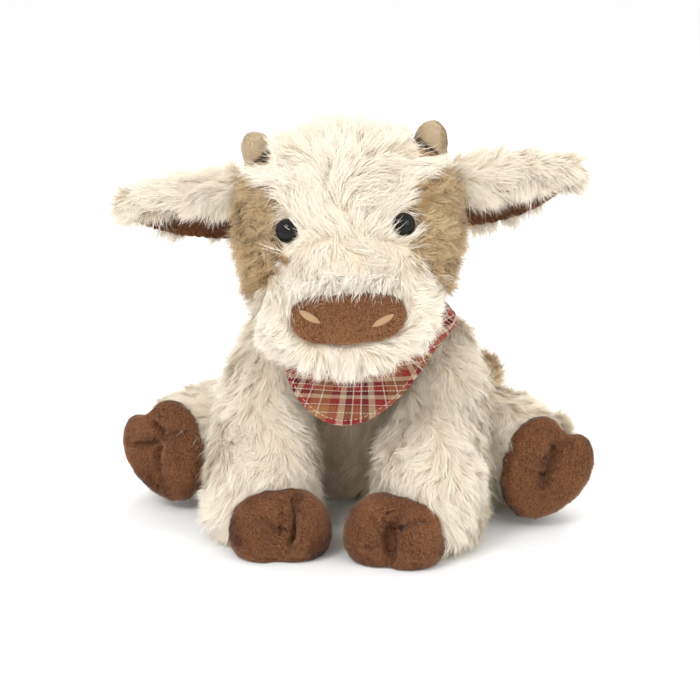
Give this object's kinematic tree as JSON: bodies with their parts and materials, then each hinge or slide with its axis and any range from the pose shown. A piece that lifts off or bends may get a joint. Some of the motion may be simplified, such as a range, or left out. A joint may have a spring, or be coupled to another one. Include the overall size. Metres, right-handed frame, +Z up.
{
  "type": "plush cow",
  "caption": "Sitting plush calf with long cream fur, tan face patches, stubby horns, folded ears, brown cloven hooves and a checked neckerchief.",
  "frame": {"origin": "on the ground under the middle of the toy's box", "axes": "+X to the animal's own left, -Y the way it faces, +Z up"},
  "size_m": [0.317, 0.2408, 0.262],
  "materials": {
    "cream_fur": "long clumped pile",
    "tan_fur": "long curly pile",
    "brown_plush": "short velvety pile",
    "horn_plush": "short brushed nap",
    "thread": "satin-stitched thread",
    "checked_cloth": "woven check",
    "fibre_fill": "loose fibre",
    "pouch_cloth": "plain woven cloth",
    "eye_plastic": "polished",
    "washer_plastic": "moulded"
  },
  "bodies": {
    "torso": {"torso_skin": "cream_fur", "torso_fill": "fibre_fill", "pellet_pouch": "pouch_cloth", "neckerchief": "checked_cloth", "neckerchief_knot": "checked_cloth"},
    "head": {"head_skin": "cream_fur", "head_fill": "fibre_fill", "head_patch_left": "tan_fur", "head_patch_right": "tan_fur", "nose_panel": "brown_plush", "nostril_left": "thread", "nostril_right": "thread", "eye_left": "eye_plastic", "eye_right": "eye_plastic", "eye_washer_left": "washer_plastic", "eye_washer_right": "washer_plastic", "horn_left": "horn_plush", "horn_right": "horn_plush"},
    "ear_left": {"ear_fur_left": "cream_fur", "ear_lining_left": "brown_plush"},
    "ear_right": {"ear_fur_right": "cream_fur", "ear_lining_right": "brown_plush"},
    "foreleg_left": {"foreleg_skin_left": "cream_fur", "foreleg_fill_left": "fibre_fill", "fore_hoof_left": "brown_plush"},
    "foreleg_right": {"foreleg_skin_right": "cream_fur", "foreleg_fill_right": "fibre_fill", "fore_hoof_right": "brown_plush"},
    "hindleg_left": {"hindleg_skin_left": "cream_fur", "hindleg_fill_left": "fibre_fill", "hind_hoof_left": "brown_plush"},
    "hindleg_right": {"hindleg_skin_right": "cream_fur", "hindleg_fill_right": "fibre_fill", "hind_hoof_right": "brown_plush"},
    "tail": {"tail": "tan_fur", "tail_tuft": "tan_fur"}
  },
  "joints": [
    {"name": "neck_nod", "type": "hinge", "parent": "torso", "child": "head", "pos_m": [-0.0015, -0.01112, 0.164], "axis": [0.9927, 0.1043, 0.061], "range_deg": [-12, 0], "stiffness_Nm_per_rad": 0.6},
    {"name": "ear_left_flap", "type": "hinge", "parent": "head", "child": "ear_left", "pos_m": [0.06079, 0.01152, 0.21001], "axis": [-0.1045, 0.9945, 0], "range_deg": [-20, 30], "stiffness_Nm_per_rad": 0.06},
    {"name": "ear_right_flap", "type": "hinge", "parent": "head", "child": "ear_right", "pos_m": [-0.07223, -0.00246, 0.20183], "axis": [0.1045, -0.9945, 0], "range_deg": [-20, 30], "stiffness_Nm_per_rad": 0.06},
    {"name": "foreleg_left_swing", "type": "hinge", "parent": "torso", "child": "foreleg_left", "pos_m": [0.052, 0.00288, 0.102], "axis": [-1, 0, 0], "range_deg": [0, 10], "stiffness_Nm_per_rad": 0.4},
    {"name": "foreleg_right_swing", "type": "hinge", "parent": "torso", "child": "foreleg_right", "pos_m": [-0.052, 0.00288, 0.102], "axis": [-1, 0, 0], "range_deg": [0, 10], "stiffness_Nm_per_rad": 0.4},
    {"name": "hindleg_left_spread", "type": "hinge", "parent": "torso", "child": "hindleg_left", "pos_m": [0.06, 0.03288, 0.042], "axis": [0, 0, 1], "range_deg": [0, 18], "stiffness_Nm_per_rad": 0.4},
    {"name": "hindleg_right_spread", "type": "hinge", "parent": "torso", "child": "hindleg_right", "pos_m": [-0.06, 0.03288, 0.042], "axis": [0, 0, -1], "range_deg": [0, 18], "stiffness_Nm_per_rad": 0.4},
    {"name": "tail_swing", "type": "hinge", "parent": "torso", "child": "tail", "pos_m": [0.006, 0.11064, 0.056], "axis": [0, 0, 1], "range_deg": [0, 40], "stiffness_Nm_per_rad": 0.03}
  ]
}
